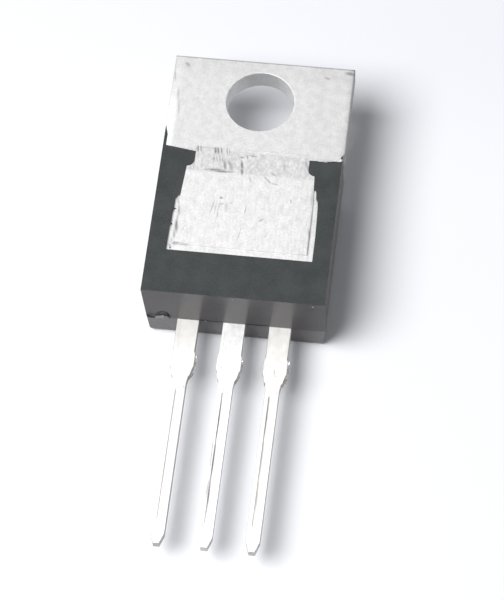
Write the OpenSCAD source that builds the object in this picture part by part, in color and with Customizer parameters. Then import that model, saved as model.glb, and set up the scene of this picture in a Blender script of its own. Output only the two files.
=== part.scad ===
// Rectifier diode: two dice with a common cathode in a three-lead flat power package.
// Millimetres. Origin at the centre of the mounting hole on the seating face of the
// heat sink; +Z points out of that face, +Y towards the free end of the tab, and the
// leads run towards -Y. All depths below the seating face are given as positive numbers.

/* [Tab] */
// width of the tab
tab_w = 10.16; // [9.6:0.02:10.7]
// thickness of the copper of the tab and the pad
tab_t = 1.3; // [1.1:0.05:1.5]
// hole centre to the free end of the tab
tab_end = 2.68; // [2.55:0.01:3.2]
// mounting hole diameter
hole_d = 3.84; // [3.5:0.02:4]
// hole centre to the lower edge of the tab, where the moulding begins
tab_foot = 3.54; // [3.3:0.02:3.9]
// how much higher the lower edge is at its left end
foot_rise_left = 0.24; // [0:0.02:0.3]
// how much higher the lower edge is at its right end
foot_rise_right = 0.08; // [0:0.02:0.3]
// how far each side of the tab is cut back where its tie bar was
relief_depth = 0.2; // [0.1:0.01:0.35]
// length of the cut on the left side, up from the lower edge
relief_left = 1.66; // [0.5:0.02:1.8]
// length of the cut on the right side
relief_right = 0.66; // [0.5:0.02:1.8]
// radius of the edge that the stamping rolled over on the seating face
roll_r = 0.1; // [0.04:0.01:0.15]

/* [Neck and pad] */
// width of the raised face of the pad at its lower end
face_w = 7.34; // [6.8:0.02:7.6]
// how much narrower the face is on each side at its shoulders
face_taper = 0.11; // [0:0.01:0.2]
// how far each side of the neck stands in from the face of the pad
neck_notch = 0.49; // [0.3:0.01:0.7]
// length of the neck, from the tab to the shoulders of the pad
neck_len = 0.98; // [0.8:0.02:1.3]
// length of the pad from its shoulders to its lower edge
pad_len = 5.4; // [5:0.02:5.8]
// width of the coined flange on each side of the face
flange_rim = 0.34; // [0.2:0.01:0.5]
// width of the flange along the lower edge of the pad
flange_foot = 0.4; // [0.2:0.02:0.6]
// depth of the coined flange below the seating face
flange_step = 0.1; // [0.05:0.01:0.3]
// shoulders of the pad to where the flange comes out of the resin on the left
film_left = 1.86; // [0.8:0.02:3]
// shoulders of the pad to where the flange comes out of the resin on the right
film_right = 0.86; // [0.8:0.02:3]
// length of the coined band that crosses the neck
band_len = 1.5; // [0.8:0.05:1.8]
// how far the band reaches up into the tab
band_lap = 0.3; // [0:0.05:0.6]
// depth of the coined band
band_depth = 0.03; // [0.01:0.01:0.08]

/* [Leads] */
// distance between lead centres
pitch = 2.54; // [2.5:0.01:2.6]
// thickness of the leads
lead_t = 0.5; // [0.36:0.02:0.6]
// depth of the upper face of the leads, which is also the parting plane of the mould
lead_depth = 2.55; // [2.2:0.05:2.7]
// length of the leads, from the parting line of the body to the tips
lead_len = 13.42; // [12:0.02:14.5]
// width of the shoulder of a lead
shoulder_w = 1.2; // [1.1:0.02:1.5]
// body to the stubs of the cut dam bar
stub_gap = 2.07; // [1.9:0.01:2.3]
// how far each stub stands out from the shoulder
stub_out = 0.065; // [0.02:0.005:0.15]
// length of the stubs
stub_len = 0.75; // [0.5:0.05:0.9]
// length of the ramp above the stubs
stub_ramp = 0.15; // [0.05:0.01:0.3]
// stubs to the narrow part of a lead
taper_len = 1.05; // [0.9:0.05:1.2]
// length of the step at the end of that taper
step_len = 0.35; // [0.2:0.01:0.5]
// how far the step stands out from the narrow part
step_out = 0.05; // [0.02:0.01:0.1]
// width of the narrow part of a lead
lead_w = 0.77; // [0.7:0.01:0.9]
// width of the flat end of a tip
tip_w = 0.36; // [0.2:0.02:0.5]
// length of the taper of a tip
tip_len = 0.6; // [0.3:0.05:0.9]
// how far the groove of each lead lies left of its centre line
groove_x = 0.13; // [0:0.01:0.2]
// width of the groove
groove_w = 0.06; // [0.04:0.01:0.1]
// depth of the groove
groove_depth = 0.04; // [0.02:0.01:0.1]
// start of the narrow part to the upper end of the groove
groove_start = 0.4; // [0.2:0.02:1]
// lower end of the groove to the tip
groove_stop = 1.4; // [0.8:0.1:5]

/* [Moulded body] */
// overall thickness of the package
body_t = 4.5; // [4.3:0.05:4.7]
// how far each side of the body stands in from the side of the tab
side_inset = 0.06; // [0:0.01:0.12]
// how far the moulding lies left of the middle of the tab
mould_shift = 0.035; // [0:0.005:0.06]
// how far each side leans out, from the seating face to the parting plane
side_flare = 0.05; // [0.02:0.01:0.2]
// how far each side leans in, from the parting plane to the front face
side_taper = 0.2; // [0.1:0.01:0.4]
// resin between the posts and the lead end of the body, at the seating face
end_wall = 0.76; // [0.5:0.02:1.2]
// how far the lead end leans out, down to the parting plane
end_flare = 0.22; // [0.05:0.01:0.3]
// how far the lead end leans in, from the parting plane to the front face
end_taper = 0.18; // [0.05:0.01:0.4]
// how far the moulding reaches under the tab at the parting plane
under_lap = 0.24; // [0.1:0.01:0.4]
// how far the tab end leans in, from the parting plane to the front face
top_taper = 0.3; // [0.1:0.01:0.5]
// radius round the front face
edge_r = 0.26; // [0.1:0.02:0.4]
// step between the two halves of the moulding along the parting plane
parting_step = 0.03; // [0:0.01:0.06]

/* [Gate scar] */
// distance of the broken gate from the middle of the body
gate_x = 3.95; // [3.2:0.05:4.1]
// radius of the recess round the gate
gate_r = 0.44; // [0.3:0.02:0.6]
// how far the centre of the recess lies behind the parting plane
gate_rise = 0.2; // [0:0.02:0.3]
// depth of the recess
gate_depth = 0.12; // [0.05:0.01:0.2]
// radius of the chip beside the gate
chip_r = 0.28; // [0.2:0.02:0.4]
// depth of the chip
chip_depth = 0.12; // [0.05:0.01:0.25]
// length over which the corner beside the gate is broken off
corner_len = 0.9; // [0.3:0.05:1.5]
// how far the corner is broken off at the parting plane
corner_cut = 0.2; // [0.1:0.01:0.3]

/* [Dice] */
// side of each die
die_w = 2.6; // [1.8:0.1:3]
// thickness of each die
die_t = 0.3; // [0.2:0.02:0.36]
// distance of each die from the middle line
die_x = 1.85; // [1.7:0.05:2]
// thickness of the solder under each die
solder_t = 0.05; // [0.03:0.01:0.08]
// how far the solder shows round each die
solder_rim = 0.12; // [0.05:0.01:0.2]

/* [Bond wires] */
// wire diameter
wire_d = 0.3; // [0.2:0.02:0.38]
// distance between the two wires of a die
wire_gap = 0.9; // [0.7:0.05:1.2]
// rise of the wire above the line between its two feet
wire_rise = 0.8; // [0.7:0.02:0.9]
// how far the feet on a die lie from its middle, towards the posts
foot_shift = 0.4; // [0:0.05:0.9]
// length of each flattened foot
foot_l = 0.6; // [0.5:0.05:0.8]
// width of each foot
foot_w = 0.42; // [0.38:0.02:0.5]
// thickness of each foot
foot_t = 0.2; // [0.16:0.02:0.24]

/* [Posts inside the body] */
// width of the bonding post of each outer lead
post_w = 2.6; // [2.2:0.05:2.8]
// how far each post is set out from the middle of its lead
post_shift = 0.21; // [0.1:0.01:0.35]
// lower edge of the pad to the posts
post_gap = 0.53; // [0.4:0.01:0.8]
// length of the posts
post_len = 1.35; // [1.2:0.05:1.5]
// width of the bent link from the pad to the middle lead
link_w = 1.6; // [1.3:0.05:1.8]
// how far the foot of the link slopes out below the lead
link_slope = 0.3; // [0.1:0.05:0.4]

/* [Hidden] */
$fn = 48;
EPS = 0.01;                               // overlap of joined forms
FAR = 20;                                 // longer than any cut has to be
OVER = 1;                                 // how far a cut runs past what it cuts
ARC_STEPS = 4;                            // flats in a small rounded edge

// distances from the hole centre towards the tips
pad_top = tab_foot + neck_len;
pad_end = pad_top + pad_len;
post_top = pad_end + post_gap;
post_end = post_top + post_len;
body_end = post_end + end_wall;
parting_end = body_end + end_flare;
stub_top = parting_end + stub_gap;
stub_end = stub_top + stub_len;
narrow_top = stub_end + taper_len;
lead_tip = parting_end + lead_len;
die_y = (pad_top + pad_end) / 2;
foot_y0 = die_y + foot_shift;             // feet of the wires on the dice
foot_y1 = post_top + post_len / 2;        // feet of the wires on the posts

// heights
front_z = -body_t;                        // the face opposite the heat sink
split_z = -lead_depth;                    // parting plane
die_z = -tab_t - solder_t - die_t;        // bonding face of the dice
post_z = split_z - lead_t;                // bonding face of the posts

// half widths
neck_half = face_w / 2 - neck_notch;
shoulder_half = face_w / 2 - face_taper;  // of the pad's raised face
flange_half = face_w / 2 + flange_rim;
body_half = tab_w / 2 - side_inset;
post_x = pitch + post_shift;
neck_r = neck_notch - face_taper;         // rounded foot of each neck notch

// Edge of the resin film on the flange: how far it covers the flange, and how far below
// the upper end of the opening, on the left and on the right.
FILM_LEFT = [[0.26, 0], [0.1, 0.25], [0.1, 1.05], [0.06, 1.15], [0.06, 1.95], [0.02, 2.05]];
FILM_RIGHT = [[0.34, 0], [0.25, 0.1], [0.21, 0.55], [0.11, 0.75], [0.06, 1.2], [0, 3]];

// part to build

// A right half profile and its mirror image, as one closed outline.
function both(half) = concat(half, [for (i = [len(half) - 1 : -1 : 0]) [-half[i][0], half[i][1]]]);

function arc_points(centre, r, from, to, steps) =
    [for (i = [0 : steps]) let (a = from + (to - from) * i / steps)
        [centre[0] + r * cos(a), centre[1] + r * sin(a)]];

// ---- copper ----

// Right half of the tab's outline. The cut beside the moulding and the rise of the lower
// edge differ from side to side.
module tab_half(relief, rise) {
    polygon([[0, tab_end], [tab_w / 2, tab_end], [tab_w / 2, -tab_foot + relief],
             [tab_w / 2 - relief_depth, -tab_foot + (relief + rise) / 2],
             [tab_w / 2 - relief_depth, -tab_foot + rise], [neck_half, -tab_foot],
             [0, -tab_foot]]);
}

// Block with the full size of the tab, its free end and sides rolled over on the
// seating face.
module rolled_block() {
    side = concat([[tab_w / 2, -tab_t]],
                  arc_points([tab_w / 2 - roll_r, -roll_r], roll_r, 0, 90, ARC_STEPS));
    end = concat([[tab_end, -tab_t]],
                 arc_points([tab_end - roll_r, -roll_r], roll_r, 0, 90, ARC_STEPS));
    intersection() {
        translate([0, FAR / 2, 0]) rotate([90, 0, 0]) linear_extrude(FAR) polygon(both(side));
        rotate([90, 0, 90]) translate([0, 0, -FAR / 2]) linear_extrude(FAR)
            polygon(concat(end, [[-tab_foot, 0], [-tab_foot, -tab_t]]));
    }
}

// Right half of the neck and the upper pad, with the rounded notch beside the neck.
module pad_half() {
    polygon(concat(
        [[0, -tab_foot + EPS], [neck_half, -tab_foot + EPS]],
        arc_points([shoulder_half, -pad_top + neck_r], neck_r, 180, 270, 6),
        [[face_w / 2, -pad_top - film_left], [face_w / 2, -pad_end], [0, -pad_end]]));
}

// The tab without its rolled edges, which is also the space that the resin leaves for it.
module tab_space(height) {
    translate([0, 0, -tab_t]) linear_extrude(height) {
        tab_half(relief_right, foot_rise_right);
        mirror([1, 0]) tab_half(relief_left, foot_rise_left);
    }
}

module tab() {
    intersection() {
        rolled_block();
        tab_space(tab_t);
    }
}

// Neck and pad; the raised face ends short of the lower edge, at the foot of the flange.
module pad() {
    difference() {
        translate([0, 0, -tab_t]) linear_extrude(tab_t) {
            pad_half();
            mirror([1, 0]) pad_half();
        }
        translate([-FAR / 2, -pad_end - OVER, -flange_step])
            cube([FAR, flange_foot + OVER, OVER]);
    }
}

// Half of a lead's outline, from the middle of the post to the tip.
function lead_side() = let (
        shoulder = shoulder_w / 2, narrow = lead_w / 2,
        taper_end = (shoulder + narrow + step_out) / 2)
    [[shoulder, -foot_y1], [shoulder, -stub_top + stub_ramp],
     [shoulder + stub_out, -stub_top], [shoulder + stub_out, -stub_end],
     [shoulder, -stub_end - stub_ramp], [taper_end, -narrow_top + step_len + stub_ramp],
     [narrow + step_out, -narrow_top + step_len], [narrow, -narrow_top],
     [narrow, -lead_tip + tip_len], [tip_w / 2, -lead_tip]];

module lead_bar() {
    groove_end = lead_tip - groove_stop;
    difference() {
        translate([0, 0, post_z]) linear_extrude(lead_t) polygon(both(lead_side()));
        translate([-groove_x - groove_w / 2, -groove_end, split_z - groove_depth])
            cube([groove_w, groove_end - narrow_top - groove_start, OVER]);
    }
}

// The bend that carries the middle lead down from the pad to the lead plane.
module link() {
    low = -post_end + lead_t;             // where the slope meets the lead
    rotate([90, 0, 90]) translate([0, 0, -link_w / 2]) linear_extrude(link_w)
        polygon([[-pad_end + lead_t, -tab_t + lead_t], [-pad_end - post_gap / 2, -tab_t + lead_t],
                 [low, split_z], [-foot_y1 - post_len, split_z],
                 [-foot_y1 - post_len, post_z], [low + link_slope, post_z],
                 [-pad_end + lead_t / 4, -tab_t], [-pad_end + lead_t, -tab_t]]);
}

module flange() {
    translate([-flange_half, -pad_end, -tab_t])
        cube([2 * flange_half, pad_len - neck_r, tab_t - flange_step]);
}

// Shallow band pressed across the neck; the resin stays out of it.
module coined_band(depth) {
    translate([-neck_half, -tab_foot + band_lap - band_len, -depth])
        cube([2 * neck_half, band_len, OVER]);
}

module heat_sink_frame() {
    color("Silver") {
        difference() {
            union() {
                tab();
                pad();
                flange();
            }
            translate([0, 0, -tab_t - OVER]) cylinder(d = hole_d, h = tab_t + 2 * OVER);
            coined_band(band_depth);
        }
        link();
        lead_bar();
    }
}

// An outer lead ends inside the body in a wide post for the wires of its die.
module outer_lead(side) {
    translate([side * pitch, 0, 0]) lead_bar();
    translate([side * post_x - post_w / 2, -post_end, post_z]) cube([post_w, post_len, lead_t]);
}

module left_lead() { color("Silver") outer_lead(-1); }
module right_lead() { color("Silver") outer_lead(1); }

// ---- dice, solder and wires ----

module die(side) {
    translate([side * die_x - die_w / 2, -die_y - die_w / 2, die_z]) cube([die_w, die_w, die_t]);
}

module solder(side) {
    w = die_w + 2 * solder_rim;
    translate([side * die_x - w / 2, -die_y - w / 2, -tab_t - solder_t]) cube([w, w, solder_t]);
}

module left_die() { color("DimGray") die(-1); }
module right_die() { color("DimGray") die(1); }
module left_die_solder() { color("LightGray") solder(-1); }
module right_die_solder() { color("LightGray") solder(1); }

// One wire: a circular loop between a foot on the die and a foot on the post.
module bond_wire(side, offset_x) {
    p0 = [side * (die_x + offset_x), -foot_y0];
    p1 = [side * (post_x + offset_x), -foot_y1];
    turn = atan2(p1[1] - p0[1], p1[0] - p0[0]);
    run = norm(p1 - p0);
    climb = die_z - post_z;
    chord = sqrt(run * run + climb * climb);
    r = (chord * chord / 4 + wire_rise * wire_rise) / (2 * wire_rise);
    tilt = atan2(climb, run);
    spread = asin(chord / 2 / r);
    mid = [run / 2 + (r - wire_rise) * sin(tilt), climb / 2 - (r - wire_rise) * cos(tilt)];
    translate([p0[0], p0[1], die_z]) rotate([0, 0, turn]) {
        translate([0, 0, -wire_d / 2]) rotate([-90, 0, 0]) translate([mid[0], mid[1], 0])
            rotate([0, 0, 90 + tilt - spread])
            rotate_extrude(angle = 2 * spread) translate([r, 0]) circle(d = wire_d);
        translate([-foot_l / 2, -foot_w / 2, -foot_t]) cube([foot_l, foot_w, foot_t]);
        translate([run - foot_l / 2, -foot_w / 2, -climb - foot_t])
            cube([foot_l, foot_w, foot_t]);
    }
}

module left_wire_inner() { color("Gainsboro") bond_wire(-1, -wire_gap / 2); }
module left_wire_outer() { color("Gainsboro") bond_wire(-1, wire_gap / 2); }
module right_wire_inner() { color("Gainsboro") bond_wire(1, -wire_gap / 2); }
module right_wire_outer() { color("Gainsboro") bond_wire(1, wire_gap / 2); }

// ---- moulding ----

// Half profile of the body from the seating face to the front face: outwards to the
// parting plane, a small step there, inwards again and round the front edge.
function side_profile(back, flare, taper) = let (
        parting = back + flare, front = parting - taper,
        lean = atan2(taper, body_t - lead_depth))
    concat([[back, 0], [parting, split_z], [parting - parting_step, split_z]],
           arc_points([front - edge_r, front_z + edge_r], edge_r, -lean, -90, ARC_STEPS));

// Resin beside the foot of the tab, up to the top of the cut where the tie bar was.
module tie_bar_fill(side, relief) {
    translate([side > 0 ? neck_half : -neck_half - FAR, -pad_top, -tab_t])
        cube([FAR, neck_len + relief, tab_t]);
}

// The block between the lead end and the tab end, and the two strips beside the tab, all
// with the sides of one profile across the body.
module body_block() {
    tab_side = [[under_lap, 0], [under_lap, split_z], [under_lap - parting_step, split_z],
                [under_lap - top_taper, front_z + edge_r],
                [under_lap - top_taper - edge_r, front_z]];
    intersection() {
        translate([-mould_shift, FAR / 2, 0]) rotate([90, 0, 0]) linear_extrude(2 * FAR)
            polygon(both(side_profile(body_half, side_flare, side_taper)));
        union() {
            rotate([90, 0, 90]) translate([0, 0, -FAR / 2]) linear_extrude(FAR)
                polygon(concat(
                    [for (p = side_profile(body_end, end_flare, end_taper)) [-p[0], p[1]]],
                    [for (i = [len(tab_side) - 1 : -1 : 0])
                     [tab_side[i][0] - tab_foot, tab_side[i][1]]]));
            tie_bar_fill(-1, relief_left);
            tie_bar_fill(1, relief_right);
        }
    }
}

// Opening in the resin over the exposed part of the flange.
module flange_window() {
    left = [for (p = FILM_LEFT) [-flange_half + p[0], -pad_top - film_left - p[1]]];
    right = [for (p = FILM_RIGHT) [flange_half - p[0], -pad_top - film_right - p[1]]];
    translate([0, 0, -flange_step - EPS]) linear_extrude(OVER)
        polygon(concat([[0, -pad_top - film_right]], right, [[flange_half, -pad_end]],
                       [[-flange_half, -pad_end]], [for (i = [len(left) - 1 : -1 : 0]) left[i]],
                       [[0, -pad_top - film_left]]));
}

// Recess at the parting line where the resin was fed in, and the chip beside it.
module gate_recess() {
    translate([-mould_shift - gate_x, -parting_end + gate_depth, split_z + gate_rise])
        rotate([90, 0, 0]) cylinder(r = gate_r, h = OVER);
    translate([-mould_shift - gate_x - gate_r - chip_r / 2, -parting_end + chip_depth, split_z])
        rotate([90, 0, 0]) cylinder(r = chip_r, h = OVER);
}

// The corner that broke away with the gate: a slanting cut that starts at the seating face.
module broken_corner() {
    turn = atan2(corner_cut, corner_len);
    lean = atan2(corner_cut - end_flare * corner_cut / corner_len, lead_depth);
    translate([-mould_shift - body_half, -body_end, 0]) rotate([0, -lean, turn])
        translate([-OVER, -FAR / 2, -FAR / 2]) cube([OVER, FAR, FAR]);
}

module moulded_body() {
    color("DarkSlateGray") difference() {
        body_block();
        gate_recess();
        broken_corner();
        tab_space(tab_t + OVER);
        heat_sink_frame();
        coined_band(band_depth + EPS);
        flange_window();
        left_lead();
        right_lead();
        left_die();
        right_die();
        left_die_solder();
        right_die_solder();
        left_wire_inner();
        left_wire_outer();
        right_wire_inner();
        right_wire_outer();
    }
}

moulded_body();
heat_sink_frame();
left_lead();
right_lead();
left_die();
right_die();
left_die_solder();
right_die_solder();
left_wire_inner();
left_wire_outer();
right_wire_inner();
right_wire_outer();
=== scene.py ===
from math import cos, radians, sin

import bmesh
import bpy
import numpy as np
from mathutils import Matrix, Vector


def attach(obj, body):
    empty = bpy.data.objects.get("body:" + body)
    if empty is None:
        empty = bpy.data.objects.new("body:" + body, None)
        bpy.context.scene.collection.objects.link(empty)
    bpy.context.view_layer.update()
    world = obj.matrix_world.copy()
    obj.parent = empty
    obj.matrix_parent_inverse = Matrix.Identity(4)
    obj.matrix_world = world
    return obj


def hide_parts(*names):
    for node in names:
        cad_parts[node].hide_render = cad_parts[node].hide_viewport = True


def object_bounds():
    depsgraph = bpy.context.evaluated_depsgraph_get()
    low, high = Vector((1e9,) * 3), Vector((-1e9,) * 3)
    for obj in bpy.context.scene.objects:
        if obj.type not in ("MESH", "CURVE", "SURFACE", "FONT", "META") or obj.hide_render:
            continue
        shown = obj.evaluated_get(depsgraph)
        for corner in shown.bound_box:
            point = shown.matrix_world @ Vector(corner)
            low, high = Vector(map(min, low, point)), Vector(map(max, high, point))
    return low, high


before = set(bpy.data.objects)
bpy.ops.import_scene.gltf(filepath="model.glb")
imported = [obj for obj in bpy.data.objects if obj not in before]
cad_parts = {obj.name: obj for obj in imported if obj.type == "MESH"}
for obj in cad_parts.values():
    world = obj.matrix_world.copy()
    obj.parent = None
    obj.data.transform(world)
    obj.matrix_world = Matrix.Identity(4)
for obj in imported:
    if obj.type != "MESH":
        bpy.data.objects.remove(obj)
cad_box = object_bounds()
scene = bpy.context.scene
MM = 0.001

# ---------------------------------------------------------------- camera
# A long lens looks down at the bare back from the lead end, a little from
# the right, and is rolled slightly.
CAMERA_AT = Vector((14.693, -88.968, 141.822)) * MM
VIEW_AZIMUTH, VIEW_ELEVATION, VIEW_ROLL = radians(10.136), radians(61.3175), radians(-3.8249)
FOCAL_PIXELS, LONG_SIDE_PIXELS, SENSOR = 2993.9, 600.0, 36.0

backward = Vector((sin(VIEW_AZIMUTH) * cos(VIEW_ELEVATION),
                   -cos(VIEW_AZIMUTH) * cos(VIEW_ELEVATION), sin(VIEW_ELEVATION)))
level_right = (-backward).cross(Vector((0, 0, 1))).normalized()
level_up = level_right.cross(-backward)
right = level_right * cos(VIEW_ROLL) + level_up * sin(VIEW_ROLL)
up = level_up * cos(VIEW_ROLL) - level_right * sin(VIEW_ROLL)

lens = bpy.data.cameras.new("view")
lens.sensor_width = SENSOR
lens.lens = FOCAL_PIXELS * SENSOR / LONG_SIDE_PIXELS
lens.clip_start, lens.clip_end = 0.01, 10
camera = bpy.data.objects.new("view", lens)
camera.matrix_world = Matrix.Translation(CAMERA_AT) @ Matrix((right, up, backward)).transposed().to_4x4()
scene.collection.objects.link(camera)
scene.camera = camera

# ---------------------------------------------------------------- light and floor
# The part lies on white paper beside a large soft window on its left; the
# room gives the rest of the light.
scene.view_settings.view_transform = "Standard"
FLOOR_Z = cad_box[0].z

world = bpy.data.worlds.new("studio")
scene.world = world
world.use_nodes = True
sky = world.node_tree.nodes["Background"]
sky.inputs["Color"].default_value = (0.985, 0.985, 1.0, 1)
# The eye and the gloss see a white room; it lights matt surfaces only a little.
ROOM_SEEN, ROOM_LIGHT = 1.0, 0.225
ray = world.node_tree.nodes.new("ShaderNodeLightPath")
seen = ray.outputs["Is Camera Ray"]
for other in ("Is Glossy Ray", "Is Transmission Ray"):
    either = world.node_tree.nodes.new("ShaderNodeMath")
    either.operation = "MAXIMUM"
    world.node_tree.links.new(seen, either.inputs[0])
    world.node_tree.links.new(ray.outputs[other], either.inputs[1])
    seen = either.outputs[0]
room = world.node_tree.nodes.new("ShaderNodeMapRange")
room.inputs["To Min"].default_value, room.inputs["To Max"].default_value = ROOM_LIGHT, ROOM_SEEN
world.node_tree.links.new(seen, room.inputs["Value"])
world.node_tree.links.new(room.outputs[0], sky.inputs["Strength"])

KEY_DISTANCE, KEY_SIDE, KEY_POWER = 0.3, 0.225, 1.08
KEY_AZIMUTH, KEY_ELEVATION = radians(209), radians(58.3)
lamp = bpy.data.lights.new("window", "AREA")
lamp.shape, lamp.size, lamp.energy = "DISK", KEY_SIDE, KEY_POWER
lamp.color = (1.0, 0.995, 0.99)
key = bpy.data.objects.new("window", lamp)
aim = Vector((cos(KEY_AZIMUTH) * cos(KEY_ELEVATION), sin(KEY_AZIMUTH) * cos(KEY_ELEVATION), sin(KEY_ELEVATION)))
key.matrix_world = (Matrix.Translation(aim * KEY_DISTANCE + Vector((0, -0.01, 0)))
                    @ aim.to_track_quat("Z", "Y").to_matrix().to_4x4())
scene.collection.objects.link(key)

floor_mesh = bpy.data.meshes.new("floor")
floor_mesh.from_pydata([(-2, -2, FLOOR_Z), (2, -2, FLOOR_Z), (2, 2, FLOOR_Z), (-2, 2, FLOOR_Z)], [], [(0, 1, 2, 3)])
floor = bpy.data.objects.new("floor", floor_mesh)
scene.collection.objects.link(floor)
paper = bpy.data.materials.new("white_paper")
paper.use_nodes = True
sheet = paper.node_tree.nodes["Principled BSDF"]
sheet.inputs["Roughness"].default_value, sheet.inputs["Specular IOR Level"].default_value = 0.9, 0.1
# Painted shade: the paper is coloured a little greyer and bluer away from the window, behind the tab.
spot, split, paper_painted_shade, tone = (paper.node_tree.nodes.new("ShaderNode" + kind)
                           for kind in ("TexCoord", "SeparateXYZ", "MapRange", "Mix"))
tone.data_type, paper_painted_shade.interpolation_type = "RGBA", "SMOOTHSTEP"
paper_painted_shade.inputs["From Min"].default_value, paper_painted_shade.inputs["From Max"].default_value = -3 * MM, 9 * MM
tone.inputs[6].default_value, tone.inputs[7].default_value = (0.915, 0.930, 0.965, 1), (0.875, 0.893, 0.940, 1)
for start, end in ((spot.outputs["Object"], split.inputs[0]), (split.outputs["Y"], paper_painted_shade.inputs["Value"]),
                   (paper_painted_shade.outputs[0], tone.inputs[0]), (tone.outputs[2], sheet.inputs["Base Color"])):
    paper.node_tree.links.new(start, end)
floor_mesh.materials.append(paper)

# ---------------------------------------------------------------- moulded body
# The body is black filled epoxy, transfer moulded round the frame in one shot.
# Its back has the fine grain of the eroded mould, its ends and sides are
# smoother, and the gate broke off at the left of the lead end.
class Finish:
    """A material built node by node; every pattern reads Object coordinates in metres."""

    def __init__(self, name, roughness, metallic=0.0, specular=0.5):
        self.material = bpy.data.materials.new(name)
        self.material.use_nodes = True
        self.tree = self.material.node_tree
        self.shader = self.tree.nodes["Principled BSDF"]
        self.shader.inputs["Roughness"].default_value = roughness
        self.shader.inputs["Metallic"].default_value = metallic
        self.shader.inputs["Specular IOR Level"].default_value = specular
        where = self.add("ShaderNodeTexCoord").outputs
        self.place = where["Object"]
        self.x, self.y, self.z = self.add("ShaderNodeSeparateXYZ", i0=self.place).outputs
        upright = self.add("ShaderNodeSeparateXYZ", i0=where["Normal"]).outputs[2]
        self.upward = self.ramp(upright, 0.3, 0.6, 0.0, 1.0)
        self.wall = self.ramp(self.maths("ABSOLUTE", upright, 0.0), 0.5, 0.85, 1.0, 0.0)

    def add(self, kind, **values):
        """A node; i0, i1 and so on give its sockets a number, a vector or another node's output."""
        node = self.tree.nodes.new(kind)
        for key, value in values.items():
            if not (key[0] == "i" and key[1:].isdigit()):
                setattr(node, key, value)
            elif isinstance(value, bpy.types.NodeSocket):
                self.tree.links.new(value, node.inputs[int(key[1:])])
            else:
                node.inputs[int(key[1:])].default_value = value
        return node

    def noise(self, size_mm, detail=3, stretch=(1, 1, 1)):
        """Noise from 0 to 1 whose clouds are about size_mm across, longer where stretch is below 1."""
        spot = self.add("ShaderNodeVectorMath", operation="MULTIPLY", i0=self.place, i1=stretch).outputs[0]
        node = self.tree.nodes.new("ShaderNodeTexNoise")
        self.tree.links.new(spot, node.inputs["Vector"])
        node.inputs["Scale"].default_value, node.inputs["Detail"].default_value = 1000 / size_mm, detail
        return node.outputs[0]

    def ramp(self, value, low, high, to_low, to_high):
        """Value carried smoothly from low-high to to_low-to_high, and held at both ends."""
        if low > high:
            low, high, to_low, to_high = high, low, to_high, to_low
        return self.add("ShaderNodeMapRange", interpolation_type="SMOOTHSTEP", i0=value, i1=low, i2=high,
                        i3=to_low, i4=to_high).outputs[0]

    def zone(self, value, low_mm, high_mm, edge_mm):
        """1 where value lies between low_mm and high_mm, falling to 0 over edge_mm at each end."""
        return self.maths("MULTIPLY", self.ramp(value, (low_mm - edge_mm) * MM, low_mm * MM, 0.0, 1.0),
                          self.ramp(value, high_mm * MM, (high_mm + edge_mm) * MM, 1.0, 0.0))

    def maths(self, operation, a, b):
        return self.add("ShaderNodeMath", operation=operation, i0=a, i1=b).outputs[0]

    def total(self, *terms):
        """The sum of weight times value over pairs of (weight, value)."""
        result = None
        for weight, value in terms:
            term = self.maths("MULTIPLY", value, weight)
            result = term if result is None else self.maths("ADD", result, term)
        return result

    def mixed(self, amount, start, end):
        """Colour that goes from start to end as the amount goes from 0 to 1."""
        mix = self.tree.nodes.new("ShaderNodeMix")
        mix.data_type = "RGBA"
        self.tree.links.new(amount, mix.inputs[0])
        for socket, colour in ((mix.inputs[6], start), (mix.inputs[7], end)):
            if isinstance(colour, bpy.types.NodeSocket):
                self.tree.links.new(colour, socket)
            else:
                socket.default_value = (*colour, 1)
        return mix.outputs[2]

    def strokes(self, marks, height_mm, reach_mm=0.25):
        """The darkest of a set of soft strokes. A stroke is (x1, y1, x2, y2, half width, strength)
        in millimetres at one height: strength inside an ellipse round its two ends, 0 outside. Every
        eighth stroke reads the place plus 0 times the result so far, so that few wait at once."""
        deepest, place = None, self.place
        for number, (x1, y1, x2, y2, half, strength) in enumerate(marks):
            if number and number % 8 == 0:
                place = self.add("ShaderNodeVectorMath", operation="MULTIPLY_ADD", i0=deepest, i1=(0, 0, 0),
                                 i2=self.place).outputs[0]
            spot = self.tree.nodes.new("ShaderNodeMapping")
            spot.vector_type = "TEXTURE"
            self.tree.links.new(place, spot.inputs["Vector"])
            spot.inputs["Location"].default_value = ((x1 + x2) / 2 * MM, (y1 + y2) / 2 * MM, height_mm * MM)
            spot.inputs["Rotation"].default_value = (0, 0, np.arctan2(y2 - y1, x2 - x1))
            spot.inputs["Scale"].default_value = ((np.hypot(x2 - x1, y2 - y1) / 2 + half) * MM, half * MM,
                                                  reach_mm * MM)
            away = self.add("ShaderNodeVectorMath", operation="LENGTH", i0=spot.outputs[0]).outputs["Value"]
            mark = self.ramp(away, 0.3, 1.7, strength, 0.0)
            deepest = mark if deepest is None else self.maths("MAXIMUM", deepest, mark)
        return deepest

    def tint(self, colour, amount):
        """The base colour becomes the colour times the amount."""
        scaled = self.add("ShaderNodeVectorMath", operation="SCALE", i0=colour, i3=amount)
        self.feed("Base Color", scaled.outputs[0])

    def relief(self, height, depth_mm):
        bump = self.tree.nodes.new("ShaderNodeBump")
        self.tree.links.new(height, bump.inputs["Height"])
        bump.inputs["Distance"].default_value = depth_mm * MM
        self.tree.links.new(bump.outputs[0], self.shader.inputs["Normal"])

    def feed(self, socket, value):
        self.tree.links.new(value, self.shader.inputs[socket])


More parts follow.
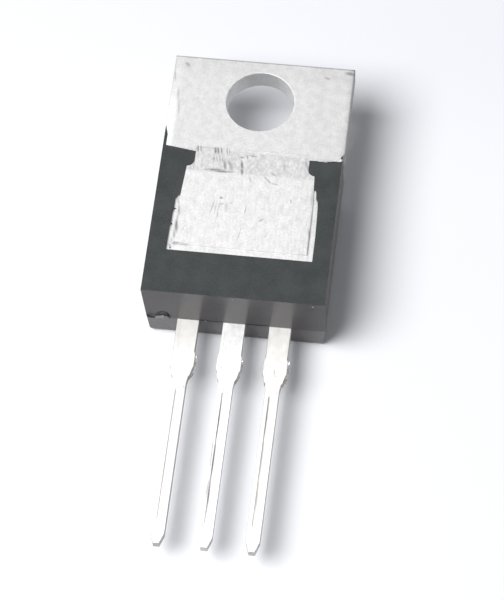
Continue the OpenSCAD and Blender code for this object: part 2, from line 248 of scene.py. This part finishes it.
def run_mesh(name, runs, sides=8, rough=0.0, seed=1):
    """Closed beads laid along rows of (x, y, z, width, height) in millimetres. Each row is sampled
    evenly, a ring of width times cosine across and height times sine up is set at each sample, and
    both fall to nothing at the two ends as a quarter circle does. Rough jitters the width."""
    chance = np.random.default_rng(seed)
    points, faces, first = [], [], 0
    for run in runs:
        run = np.array(run, float)
        length = np.r_[0, np.cumsum(np.linalg.norm(np.diff(run[:, :3], axis=0), axis=1))]
        count = int(max(8, length[-1] / 0.05))
        along = np.interp(np.linspace(0, length[-1], count), length, np.arange(len(run)))
        row = np.stack([np.interp(along, np.arange(len(run)), run[:, k]) for k in range(5)], 1)
        step = np.gradient(row[:, :3], axis=0)
        across = np.cross(step, (0, 0, 1.0))
        across /= np.linalg.norm(across, axis=1, keepdims=True) + 1e-9
        lift = np.cross(across, step)
        lift /= np.linalg.norm(lift, axis=1, keepdims=True) + 1e-9
        full = np.clip(row[:, 3:4] / max(length[-1], 1e-6), 0.08, 0.5)
        place = np.linspace(0, 1, count)[:, None]
        taper = np.sqrt(np.clip(1 - np.clip((full - np.minimum(place, 1 - place)) / full, 0, 1) ** 2, 0.0, 1))
        taper[[0, -1]] = 0
        size = taper * (1 + rough * chance.standard_normal((count, 1)))
        turn = np.linspace(0, 2 * np.pi, sides, endpoint=False)
        ring = (across[:, None] * (size * row[:, 3:4] / 2)[:, None] * np.cos(turn)[None, :, None]
                + lift[:, None] * (size * row[:, 4:5] / 2)[:, None] * np.sin(turn)[None, :, None])
        grid = (row[:, None, :3] + ring)[1:-1].reshape(-1, 3)
        points += [row[:1, :3], grid, row[-1:, :3]]
        index = first + 1 + np.arange((count - 2) * sides).reshape(count - 2, sides)
        after = np.roll(index, -1, 1)
        quads = np.stack([index[:-1], index[1:], after[1:], after[:-1]], 2).reshape(-1, 4)
        last = first + 1 + (count - 2) * sides
        faces += quads.tolist()
        faces += np.stack([np.full(sides, first), index[0], after[0]], 1).tolist()
        faces += np.stack([np.full(sides, last), after[-1], index[-1]], 1).tolist()
        first = last + 1
    mesh = bpy.data.meshes.new(name)
    mesh.from_pydata(np.concatenate(points) * MM, [], faces)
    shape = bmesh.new()
    shape.from_mesh(mesh)
    bmesh.ops.recalc_face_normals(shape, faces=shape.faces)
    shape.to_mesh(mesh)
    shape.free()
    mesh.shade_smooth()
    return mesh


def laid(name, runs, finish, slot, **shape):
    """One piece made of beads, finished and set on the part."""
    obj = bpy.data.objects.new(name, run_mesh(name, runs, **shape))
    scene.collection.objects.link(obj)
    obj.data.materials.append(finish.material)
    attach(obj, "root")
    return obj


def keep_largest(mesh):
    """Only the connected piece with the most points stays, without the crumbs that a cut leaves."""
    shape = bmesh.new()
    shape.from_mesh(mesh)
    waiting, largest = set(shape.verts), set()
    while waiting:
        piece, front = set(), [waiting.pop()]
        while front:
            point = front.pop()
            piece.add(point)
            near = {edge.other_vert(point) for edge in point.link_edges} & waiting
            waiting -= near
            front += near
        largest = max(largest, piece, key=len)
    bmesh.ops.delete(shape, geom=[point for point in shape.verts if point not in largest], context="VERTS")
    shape.to_mesh(mesh)
    shape.free()


def softened(node, name, width_mm=0.0, picked=None, grooves=()):
    """A merged copy of a node's mesh with its flat faces made whole. A Bevel rounds each sharp edge
    by the share of the width that picked gives for the edge's middle in millimetres. Then the
    grooves, given as meshes, are cut out."""
    merge_distance, flat_angle, sharp_angle = 2e-7, radians(0.6), radians(30)
    shape = bmesh.new()
    shape.from_mesh(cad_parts[node].data)
    bmesh.ops.remove_doubles(shape, verts=shape.verts, dist=merge_distance)
    bmesh.ops.dissolve_limit(shape, angle_limit=flat_angle, verts=shape.verts, edges=shape.edges)
    weight = shape.edges.layers.float.new("bevel_weight_edge")
    for edge in shape.edges:
        middle = (edge.verts[0].co + edge.verts[1].co) / 2 / MM
        sharp = len(edge.link_faces) == 2 and edge.calc_face_angle(0) > sharp_angle
        edge[weight] = picked(*middle) if picked and sharp else 0.0
    mesh = bpy.data.meshes.new(name)
    shape.to_mesh(mesh)
    shape.free()
    obj = bpy.data.objects.new(name, mesh)
    scene.collection.objects.link(obj)
    if picked:
        bevel = obj.modifiers.new("edges", "BEVEL")
        bevel.limit_method, bevel.use_clamp_overlap = "WEIGHT", True
        bevel.width, bevel.segments = width_mm * MM, 2
    for groove in grooves:
        cutter = bpy.data.objects.new("cutter", groove)
        scene.collection.objects.link(cutter)
        cut = obj.modifiers.new("cut", "BOOLEAN")
        cut.operation, cut.solver, cut.use_self, cut.object = "DIFFERENCE", "EXACT", True, cutter
        bpy.context.view_layer.update()
        obj.data = mesh = bpy.data.meshes.new_from_object(obj.evaluated_get(bpy.context.evaluated_depsgraph_get()))
        obj.modifiers.clear()
        bpy.data.objects.remove(cutter)
    if grooves:
        keep_largest(mesh)
    mesh.shade_smooth()
    mesh.set_sharp_from_angle(angle=sharp_angle)
    flat = obj.modifiers.new("flat faces", "WEIGHTED_NORMAL")
    flat.keep_sharp, flat.weight = True, 100
    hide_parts(node)
    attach(obj, "root")
    return obj


epoxy = Finish("epoxy", 0.4, specular=0.38)
grain = epoxy.noise(0.09, 3)
clouds = epoxy.noise(1.1, 3)
tone = epoxy.ramp(epoxy.total((0.55, clouds), (0.45, grain)), 0.35, 0.65, 0.0, 1.0)
back_black = epoxy.mixed(tone, (0.024, 0.0290, 0.0285), (0.043, 0.049, 0.048))
# Painted light: the ends and sides are coloured lighter than the back.
side_black_painted_light = epoxy.mixed(tone, (0.072, 0.068, 0.070), (0.084, 0.080, 0.082))
skin = epoxy.mixed(epoxy.wall, back_black, side_black_painted_light)
# Painted shade: darker in the gate's recess and in the chip beside it.
gate_painted_shade = epoxy.maths("MAXIMUM", epoxy.strokes([(-4.66, -12.7, -4.56, -12.7, 0.16, 0.42)], -2.46, 0.34),
                     epoxy.strokes([(-4.05, -12.7, -3.81, -12.7, 0.30, 0.42)], -2.34, 0.27))
# Painted reflection of the bright floor: the walls below the parting line are lighter.
lower_half_painted_light = epoxy.maths("MULTIPLY", epoxy.wall, epoxy.ramp(epoxy.z, -2.62 * MM, -2.66 * MM, 0.0, 1.0))
epoxy.tint(skin, epoxy.total((1.0, 1.0), (-1.0, gate_painted_shade), (0.25, lower_half_painted_light)))
matt = epoxy.maths("SUBTRACT", 1.0, epoxy.wall)
epoxy.feed("Roughness", epoxy.total((1.0, epoxy.ramp(epoxy.wall, 0.0, 1.0, 0.38, 0.24)),
                                    (0.12, epoxy.maths("MULTIPLY", matt, epoxy.ramp(grain, 0.3, 0.7, 0.0, 1.0)))))
epoxy.relief(epoxy.maths("MULTIPLY", grain, epoxy.ramp(epoxy.wall, 0.0, 1.0, 1.0, 0.1)), 0.016)

gate_crack = run_mesh("gate_crack", [
    [(-4.37, -12.70, -2.60, 0.10, 0.10), (-4.28, -12.69, -2.42, 0.14, 0.13), (-4.17, -12.69, -2.26, 0.16, 0.15),
     (-4.02, -12.68, -2.13, 0.16, 0.16), (-3.87, -12.68, -2.08, 0.18, 0.17), (-3.75, -12.68, -2.14, 0.18, 0.17),
     (-3.66, -12.69, -2.28, 0.18, 0.16), (-3.58, -12.69, -2.46, 0.18, 0.14), (-3.51, -12.70, -2.66, 0.16, 0.12)],
    [(-4.80, -12.70, -2.30, 0.10, 0.14), (-4.66, -12.69, -2.34, 0.12, 0.20), (-4.52, -12.69, -2.44, 0.12, 0.18)]])
parting_line = run_mesh("parting_line", [
    [(-1.95, -12.74, -2.51, 0.16, 0.17), (-1.30, -12.74, -2.53, 0.14, 0.12), (-0.59, -12.74, -2.51, 0.16, 0.16)],
    [(0.59, -12.74, -2.51, 0.16, 0.15), (1.20, -12.74, -2.52, 0.16, 0.17), (1.95, -12.74, -2.51, 0.15, 0.14)],
    [(3.13, -12.75, -2.52, 0.14, 0.12), (3.60, -12.75, -2.53, 0.10, 0.08)]], rough=0.2, seed=5)
rubbed_corner = run_mesh("rubbed_corner", [
    [(-5.27, -15.0, -5.2, 2.14, 3.83), (-5.27, -10.5, -5.2, 2.14, 3.83)]], sides=4)
body = softened("moulded_body", "resin_body", grooves=(gate_crack, parting_line, rubbed_corner))
body.data.materials.append(epoxy.material)

torn_resin = Finish("torn_resin", 0.85, specular=0.3)
torn_resin.feed("Base Color", torn_resin.mixed(torn_resin.noise(0.08, 2), (0.17, 0.17, 0.18), (0.30, 0.30, 0.31)))
# The lip below the crack, then three crumbs on the lead end.
laid("gate_lip", [
    [(-4.42, -12.74, -2.68, 0.12, 0.12), (-4.22, -12.72, -2.66, 0.17, 0.22), (-3.96, -12.71, -2.63, 0.20, 0.28),
     (-3.74, -12.72, -2.66, 0.17, 0.24), (-3.55, -12.74, -2.70, 0.12, 0.12)],
    [(-0.06, -12.67, -0.03, 0.07, 0.06), (0.04, -12.67, -0.03, 0.07, 0.06)],
    [(4.30, -12.69, -0.03, 0.09, 0.08), (4.42, -12.69, -0.03, 0.09, 0.08)],
    [(-1.64, -12.79, -2.53, 0.06, 0.06), (-1.50, -12.79, -2.53, 0.06, 0.06)]],
    torn_resin, "epoxy", rough=0.15, seed=3)

# ---------------------------------------------------------------- resin flash
# A thin skin of resin crept over the foot of the tab and onto the flange of
# the pad. It is the body's own epoxy, broken off raggedly when it was trimmed.
foot_left = [(-4.88, -3.32), (-4.62, -3.40), (-4.44, -3.46), (-4.27, -3.49), (-4.11, -3.47), (-3.99, -3.52),
             (-3.87, -3.55), (-3.65, -3.56), (-3.54, -3.53), (-3.42, -3.58), (-3.19, -3.61)]
foot_right = [(3.29, -3.61), (3.56, -3.59), (3.84, -3.58), (4.06, -3.60), (4.33, -3.50), (4.72, -3.46), (4.86, -3.52)]
tab_foot = [[(x, y, 0.0, 0.05, 0.03) for x, y in row] for row in (foot_left, foot_right)]
FLANGE_Z = -0.1
flange_nicks = [[(x, y, FLANGE_Z, wide, 0.05) for x, y, wide in row] for row in (
    [(-3.85, -9.77, 0.10), (-3.78, -9.72, 0.10)],
    [(-3.78, -7.26, 0.05), (-3.96, -7.30, 0.14)],
    [(-3.86, -8.25, 0.05), (-4.00, -8.26, 0.14)])]
laid("resin_flash", tab_foot + flange_nicks, epoxy, "epoxy", rough=0.18)

# ---------------------------------------------------------------- heat sink frame
# Tab, pad and middle lead are one stamping of copper with a matte tin plate.
# The pad stands proud of a coined flange, and the neck is coined too. The
# plate is rubbed, stained and scratched from handling.
LEAD_TOP, LEAD_EXIT = -2.55, -12.9


def groove_painted_shade(finish):
    """1 on the floor of the groove that runs along a lead, 0 elsewhere: where painted shade goes."""
    deep = finish.ramp(finish.z, (LEAD_TOP - 0.005) * MM, (LEAD_TOP - 0.025) * MM, 0.0, 1.0)
    return finish.maths("MULTIPLY", finish.upward, deep)


tin = Finish("tin", 0.5, 0.9)
fine = tin.noise(0.10, 3)
patches = tin.noise(0.45, 3)
wiped = tin.noise(0.16, 3, (1.0, 0.25, 1.0))
pressed = tin.noise(0.14, 4, (1.0, 0.5, 1.0))
on_pad = tin.ramp(tin.y, -4.70 * MM, -4.95 * MM, 0.0, 1.0)
in_band = tin.maths("MULTIPLY", tin.zone(tin.y, -4.72, -3.45, 0.12),
                    tin.ramp(tin.z, -0.3 * MM, -0.2 * MM, 0.0, 1.0))
on_lead = tin.ramp(tin.y, -12.0 * MM, -12.3 * MM, 0.0, 1.0)
on_flange = tin.maths("MULTIPLY", tin.ramp(tin.z, -0.06 * MM, -0.09 * MM, 0.0, 1.0), on_pad)
# Painted highlight along the tab's left edge, stronger towards the pad.
ragged_x = tin.total((1.0, tin.x), (0.0004, patches))
left_band_painted_highlight = tin.maths("MULTIPLY", tin.ramp(ragged_x, -4.25 * MM, -4.55 * MM, 0.0, 1.0),
                      tin.ramp(tin.y, 1.0 * MM, -1.4 * MM, 0.25, 1.0))
worn = tin.strokes([
    (-1.43, -6.40, -1.39, -6.40, 0.071, 0.95), (-1.77, -6.67, -1.90, -7.45, 0.041, 0.55),
    (-1.61, -6.65, -1.67, -7.49, 0.029, 0.4), (-1.44, -6.64, -1.52, -7.60, 0.035, 0.45),
    (-1.26, -6.75, -1.45, -6.83, 0.044, 0.5), (-1.05, -6.66, -1.06, -7.24, 0.071, 0.45),
    (-0.78, -6.64, -0.91, -6.71, 0.044, 0.4), (-1.47, -7.34, -1.46, -7.60, 0.038, 0.5),
    (0.02, -6.75, -0.01, -7.26, 0.035, 0.65), (0.03, -5.01, 0.07, -5.17, 0.074, 0.45),
    (0.84, -7.66, 1.04, -7.53, 0.053, 0.6), (2.41, -6.16, 2.44, -6.30, 0.047, 0.6),
    (-0.85, -5.61, -0.79, -5.87, 0.029, 0.4), (-3.19, -8.34, -3.31, -8.74, 0.035, 0.4),
    (-3.33, -8.58, -3.16, -8.56, 0.029, 0.4), (-0.06, -8.03, -0.21, -9.00, 0.029, 0.4),
    (1.26, -8.63, 1.37, -8.40, 0.029, 0.45), (0.84, -4.86, 1.19, -5.19, 0.059, 0.6),
    (1.19, -5.19, 1.59, -5.28, 0.047, 0.5), (-2.33, -4.63, -1.55, -4.62, 0.071, 0.8),
    (-1.99, -4.73, -1.10, -4.70, 0.065, 0.85), (-1.51, -4.06, -1.40, -4.50, 0.074, 0.7),
    (-1.23, -4.10, -1.07, -4.47, 0.088, 0.65), (-0.55, -3.96, -0.50, -4.35, 0.065, 0.9),
    (-0.48, -4.48, -0.45, -4.73, 0.076, 0.95), (-0.66, -3.68, -0.49, -3.70, 0.059, 0.6),
    (-0.32, -3.55, -0.26, -3.74, 0.044, 0.6), (-0.12, -3.53, 0.22, -3.56, 0.035, 0.7),
    (0.42, -3.41, 0.54, -3.47, 0.044, 0.5), (-2.13, -3.80, -2.10, -4.05, 0.041, 0.6),
    (-1.97, -3.78, -1.91, -4.03, 0.041, 0.6), (-1.83, -3.77, -1.77, -4.02, 0.035, 0.5),
    (-1.66, -3.75, -1.63, -4.01, 0.035, 0.4), (-3.10, -3.24, -3.06, -3.50, 0.047, 0.9),
    (-2.93, -3.22, -2.90, -3.48, 0.035, 0.75), (-2.11, -3.27, -2.08, -3.53, 0.065, 0.95),
    (-1.97, -3.26, -1.91, -3.51, 0.059, 0.9), (-1.78, -3.24, -1.73, -3.50, 0.041, 0.9),
    (-1.47, -3.24, -1.43, -3.47, 0.035, 0.75), (-1.34, -3.26, -1.31, -3.45, 0.029, 0.75),
    (2.98, -3.61, 3.23, -4.30, 0.065, 0.5), (1.75, -3.80, 1.85, -4.18, 0.088, 0.4),
    (1.41, -4.68, 1.25, -4.57, 0.065, 0.5), (-4.42, 2.16, -4.30, 2.06, 0.085, 0.6),
    (-4.67, 0.44, -4.62, -0.22, 0.065, 0.5), (-4.56, -0.21, -4.47, -1.13, 0.065, 0.4),
    (-5.00, 1.62, -4.92, 1.02, 0.035, 0.6), (4.67, 2.37, 4.96, 2.33, 0.103, 0.7),
    # The second stroke here and all below darken along the edges of the pad's raised face.
    (3.50, 1.95, 3.70, 1.90, 0.053, 0.55), (-3.79, -6.59, -3.71, -6.97, 0.056, 0.60),
    (-3.64, -7.09, -3.58, -7.72, 0.067, 0.65), (-3.67, -7.73, -3.64, -8.04, 0.067, 0.60),
    (-3.68, -8.05, -3.61, -8.68, 0.089, 1.10), (-3.72, -8.69, -3.68, -9.07, 0.072, 0.75),
    (-3.81, -9.14, -3.81, -9.40, 0.078, 0.50), (-3.87, -9.53, -3.81, -9.77, 0.078, 0.70),
    (-3.69, -9.46, -3.36, -9.45, 0.072, 0.80), (-3.35, -9.48, -2.91, -9.49, 0.067, 0.45),
    (3.53, -5.34, 3.64, -6.61, 0.067, 0.48), (3.63, -6.62, 3.70, -7.82, 0.072, 0.43),
    (3.63, -7.89, 3.69, -8.52, 0.072, 0.75), (3.67, -8.58, 3.74, -9.52, 0.078, 0.50)], 0.0)
scored = tin.strokes([
    (0.03, -17.00, 0.24, -16.97, 0.03, 0.8), (-0.07, -16.70, -0.05, -16.98, 0.03, 0.5),
    (-0.22, -24.76, -0.17, -25.10, 0.035, 0.9), (-0.11, -17.25, -0.11, -19.84, 0.044, 1.2),
    (-0.10, -19.96, -0.10, -22.16, 0.044, 1.2), (-0.09, -22.28, -0.09, -24.10, 0.044, 1.2),
    (-0.27, -19.80, -0.23, -22.06, 0.044, 0.9), (-0.21, -22.29, -0.24, -23.47, 0.05, 1.1),
    (0.52, -15.52, 0.52, -15.58, 0.05, 0.5), (-0.44, -15.50, -0.36, -15.56, 0.05, 0.5),
    (-0.45, -16.10, -0.36, -16.20, 0.04, 0.5), (-0.08, -26.12, 0.25, -26.06, 0.03, 0.7)], LEAD_TOP)
from_hole = tin.add("ShaderNodeVectorMath", operation="LENGTH",
                    i0=tin.add("ShaderNodeCombineXYZ", i0=tin.x, i1=tin.y).outputs[0]).outputs["Value"]
lit_rim = tin.maths("MULTIPLY", tin.zone(from_hole, 1.88, 1.97, 0.05),
                    tin.ramp(tin.maths("ADD", tin.x, tin.y), 0.9 * MM, 2.0 * MM, 0.0, 1.0))
bore_painted_light = tin.maths("MULTIPLY", tin.wall, tin.ramp(from_hole, 2.2 * MM, 2.1 * MM, 0.0, 1.0))
shade = tin.total(
    # Painted highlight on the hole's rim and painted light on the hole's wall.
    (-0.38, scored), (0.08, lit_rim), (0.15, bore_painted_light),
    (1.0, tin.ramp(fine, 0.3, 0.7, 0.585, 0.66)), (1.0, tin.ramp(patches, 0.3, 0.7, -0.03, 0.03)),
    (0.06, on_pad), (0.19, on_lead), (0.02, on_flange), (0.16, left_band_painted_highlight),
    # Painted shade: darker towards the far end and towards the right, away from the window.
    (-0.03, tin.ramp(tin.y, 1.2 * MM, 2.0 * MM, 0.0, 1.0)), (-0.02, tin.ramp(tin.x, 2.0 * MM, 3.5 * MM, 0.0, 1.0)),
    # Painted shade on the rolled right edge.
    (-0.08, tin.ramp(tin.x, 4.7 * MM, 5.05 * MM, 0.0, 1.0)),
    # Darker along the rolled far edge.
    (-0.22, tin.ramp(tin.y, 2.52 * MM, 2.62 * MM, 0.0, 1.0)),
    # Painted shade on the step at the top of the coined band.
    (-0.08, tin.maths("MULTIPLY", tin.zone(tin.y, -3.27, -3.22, 0.03), tin.zone(tin.x, -3.0, 3.0, 0.3))),
    (-0.085, tin.maths("MULTIPLY", in_band, tin.ramp(pressed, 0.62, 0.40, 0.0, 1.0))),
    (-0.05, tin.maths("MULTIPLY", on_pad, tin.ramp(wiped, 0.60, 0.36, 0.0, 1.0))),
    # Painted shade on the tab's right side face.
    (-0.20, tin.maths("MULTIPLY", tin.wall, tin.ramp(tin.x, 4.90 * MM, 5.0 * MM, 0.0, 1.0))),
    # The middle lead's sides are darker, partly for the sheared face and partly as painted shade; the groove floor
    # carries painted shade.
    (-0.36, tin.maths("MULTIPLY", on_lead, tin.wall)), (-0.30, groove_painted_shade(tin)), (-0.36, worn))
tin.tint((1.0, 1.0, 0.995), shade)
tin.feed("Roughness", tin.total((1.0, tin.ramp(fine, 0.3, 0.7, 0.46, 0.58)), (0.2, worn)))
tin.relief(tin.total((1.0, fine), (1.5, tin.maths("MULTIPLY", in_band, pressed))), 0.003)



def stamped_edge(x, y, z):
    """The share of the bevel's width: most at the hole's rim, less at the lead and the pad's sides."""
    if z > -0.2 and x * x + y * y < 4.1:
        return 0.7
    return 0.45 if y < LEAD_EXIT or (abs(x) > 3.1 and -9.9 < y < -3.6 and z > -0.2) else 0.0


stamping = softened("heat_sink_frame", "tinned_frame", 0.08, stamped_edge)
stamping.data.materials.append(tin.material)

# The right foot of the tab carries beads of tin, squeezed out when the dam
# between tab and body was cut.
laid("tab_foot_burrs", [
    [(4.86, -2.98, -0.02, 0.06, 0.06), (4.73, -3.06, -0.01, 0.07, 0.07)],
    [(4.80, -3.22, 0.0, 0.08, 0.06), (4.90, -3.36, -0.01, 0.16, 0.10), (5.01, -3.42, -0.03, 0.14, 0.10)],
    [(4.99, -3.05, -0.05, 0.06, 0.06), (4.95, -3.20, -0.05, 0.10, 0.10), (4.99, -3.38, -0.05, 0.12, 0.12)],
    [(4.94, -3.44, -0.01, 0.10, 0.07), (4.49, -3.43, -0.005, 0.07, 0.05), (4.17, -3.53, -0.005, 0.05, 0.04),
     (3.60, -3.53, -0.005, 0.03, 0.03)]], tin, "tinned_copper", rough=0.25, seed=4)

# ---------------------------------------------------------------- outer leads
# The two outer leads are cut from the same strip. Their bright tin comes from
# a second dip after the dam bar is cut, which leaves ragged edges.
bright_tin = Finish("bright_tin", 0.5, 0.9)
cast = bright_tin.noise(0.35, 3)
ripple = bright_tin.noise(0.09, 2)
pits = bright_tin.strokes([
    (-3.02, -16.32, -2.98, -16.38, 0.05, 0.5), (-2.27, -16.86, -2.27, -16.92, 0.05, 0.6),
    (-2.31, -25.20, -2.31, -25.26, 0.04, 0.5), (2.10, -15.50, 2.10, -15.56, 0.05, 0.4),
    (2.52, -15.40, 2.54, -15.66, 0.045, 0.8), (2.08, -16.30, 2.08, -16.34, 0.05, 0.4),
    (-2.64, -16.97, -2.50, -16.95, 0.03, 0.5), (2.42, -17.00, 2.60, -16.93, 0.03, 0.5),
    (2.42, -17.00, 2.36, -17.25, 0.03, 0.4), (2.79, -16.77, 2.79, -16.83, 0.05, 0.5),
    (2.60, -15.75, 2.64, -15.80, 0.05, 0.5), (2.00, -16.22, 2.12, -16.25, 0.04, 0.6),
    (-2.70, -26.14, -2.30, -26.10, 0.03, 0.6), (2.46, -26.14, 2.84, -26.08, 0.03, 0.6),
    (2.44, -17.05, 2.44, -19.46, 0.044, 1.0), (2.45, -19.64, 2.46, -21.90, 0.044, 0.9),
    (2.46, -22.01, 2.47, -23.89, 0.044, 1.0), (2.28, -19.54, 2.30, -21.68, 0.039, 0.6)], LEAD_TOP)
streaks = bright_tin.noise(0.30, 3, (1.0, 0.15, 1.0))
gloss = bright_tin.total((-0.06, bright_tin.ramp(streaks, 0.60, 0.42, 0.0, 1.0)),
                         # The lead's sides are darker, partly for the sheared face and partly as painted shade.
                         (1.0, bright_tin.ramp(cast, 0.3, 0.7, 0.81, 0.86)), (-0.36, bright_tin.wall), (-0.35, pits),
                         # Painted light: the right lead a little lighter.
                         (0.04, bright_tin.ramp(bright_tin.x, 0.0, 2.0 * MM, 0.0, 1.0)),
                         # Painted shade in the groove along the lead.
                         (-0.30, groove_painted_shade(bright_tin)))
bright_tin.tint((1.0, 0.995, 0.965), gloss)
bright_tin.feed("Roughness", bright_tin.ramp(ripple, 0.3, 0.7, 0.44, 0.56))
bright_tin.relief(ripple, 0.002)
LEAD_X, GROOVE_REACH = 2.54, 0.25


def outer_edge(x, y, z):
    """1 for an edge outside the resin that is clear of the groove along the lead, 0 for any other."""
    return 1.0 if y < LEAD_EXIT and abs(abs(x) - LEAD_X) > GROOVE_REACH else 0.0


for node, name in (("left_lead", "lead_left"), ("right_lead", "lead_right")):
    lead = softened(node, name, 0.035, outer_edge)
    lead.data.materials.append(bright_tin.material)

# Where the dam bar was cut the copper lies bare under small ragged burrs.
bare_copper = Finish("bare_copper", 0.45, 0.9)
bare_copper.feed("Base Color", bare_copper.mixed(
    bare_copper.noise(0.12, 2), (0.20, 0.15, 0.12), (0.44, 0.36, 0.31)))
laid("dam_bar_burrs", [[(x, y, -2.62, wide, 0.16) for x, y, wide in run] for run in (
    [(-1.84, -15.98, 0.04), (-1.93, -16.20, 0.09), (-2.08, -16.34, 0.07)],
    [(-1.80, -15.28, 0.05), (-1.80, -15.60, 0.05)],
    [(0.68, -15.92, 0.05), (0.58, -16.20, 0.11), (0.43, -16.40, 0.08)],
    [(0.74, -15.20, 0.06), (0.75, -15.70, 0.05)],
    [(3.23, -15.84, 0.06), (3.12, -16.12, 0.13), (2.98, -16.34, 0.09)],
    [(3.27, -15.18, 0.06), (3.29, -15.55, 0.05)])],
    bare_copper, "tinned_copper", rough=0.3, seed=7)
laid("dam_bar_beads", [[(x, y, -2.58, wide, 0.10) for x, y, wide in run] for run in (
    [(-1.83, -14.80, 0.05), (-1.80, -14.98, 0.10), (-1.82, -15.16, 0.06)],
    [(0.72, -14.82, 0.05), (0.74, -15.00, 0.11), (0.71, -15.14, 0.06)],
    [(3.25, -14.72, 0.05), (3.27, -14.91, 0.11), (3.24, -15.06, 0.06)],
    [(-0.52, -15.30, 0.05), (-0.58, -15.52, 0.08), (-0.54, -15.80, 0.05)],
    [(1.97, -15.10, 0.04), (1.94, -15.40, 0.07), (1.98, -15.70, 0.05)])],
    bright_tin, "tinned_copper", rough=0.25, seed=9)

# ---------------------------------------------------------------- dice, solder and wires
# Sealed in the resin, a silicon die lies on solder beside each outer lead, its
# top metallised. Two drawn aluminium wires are bonded from each die to the lead.
silicon = Finish("silicon", 0.35)
silicon.feed("Base Color", silicon.mixed(
    silicon.upward, silicon.mixed(silicon.noise(0.05, 3), (0.045, 0.047, 0.053), (0.095, 0.097, 0.105)),
    silicon.mixed(silicon.noise(0.12, 2), (0.48, 0.48, 0.49), (0.64, 0.64, 0.65))))
silicon.feed("Roughness", silicon.ramp(silicon.noise(0.08, 2), 0.3, 0.7, 0.25, 0.45))
solder = Finish("solder", 0.5, 0.9)
crystals = solder.noise(0.07, 4)
solder.feed("Base Color", solder.mixed(crystals, (0.34, 0.34, 0.36), (0.54, 0.54, 0.55)))
solder.feed("Roughness", solder.ramp(crystals, 0.3, 0.7, 0.42, 0.60))
solder.relief(crystals, 0.004)
aluminium = Finish("aluminium_wire", 0.35, 0.9)
drawn = aluminium.noise(0.05, 3, (1.0, 0.1, 1.0))
aluminium.feed("Base Color", aluminium.mixed(drawn, (0.70, 0.70, 0.71), (0.86, 0.86, 0.87)))
aluminium.feed("Roughness", aluminium.ramp(drawn, 0.3, 0.7, 0.28, 0.42))
for side in ("left", "right"):
    for part, finish in (("die", silicon), ("die_solder", solder),
                         ("wire_inner", aluminium), ("wire_outer", aluminium)):
        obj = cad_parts[side + "_" + part]
        obj.data.materials.clear()
        obj.data.materials.append(finish.material)
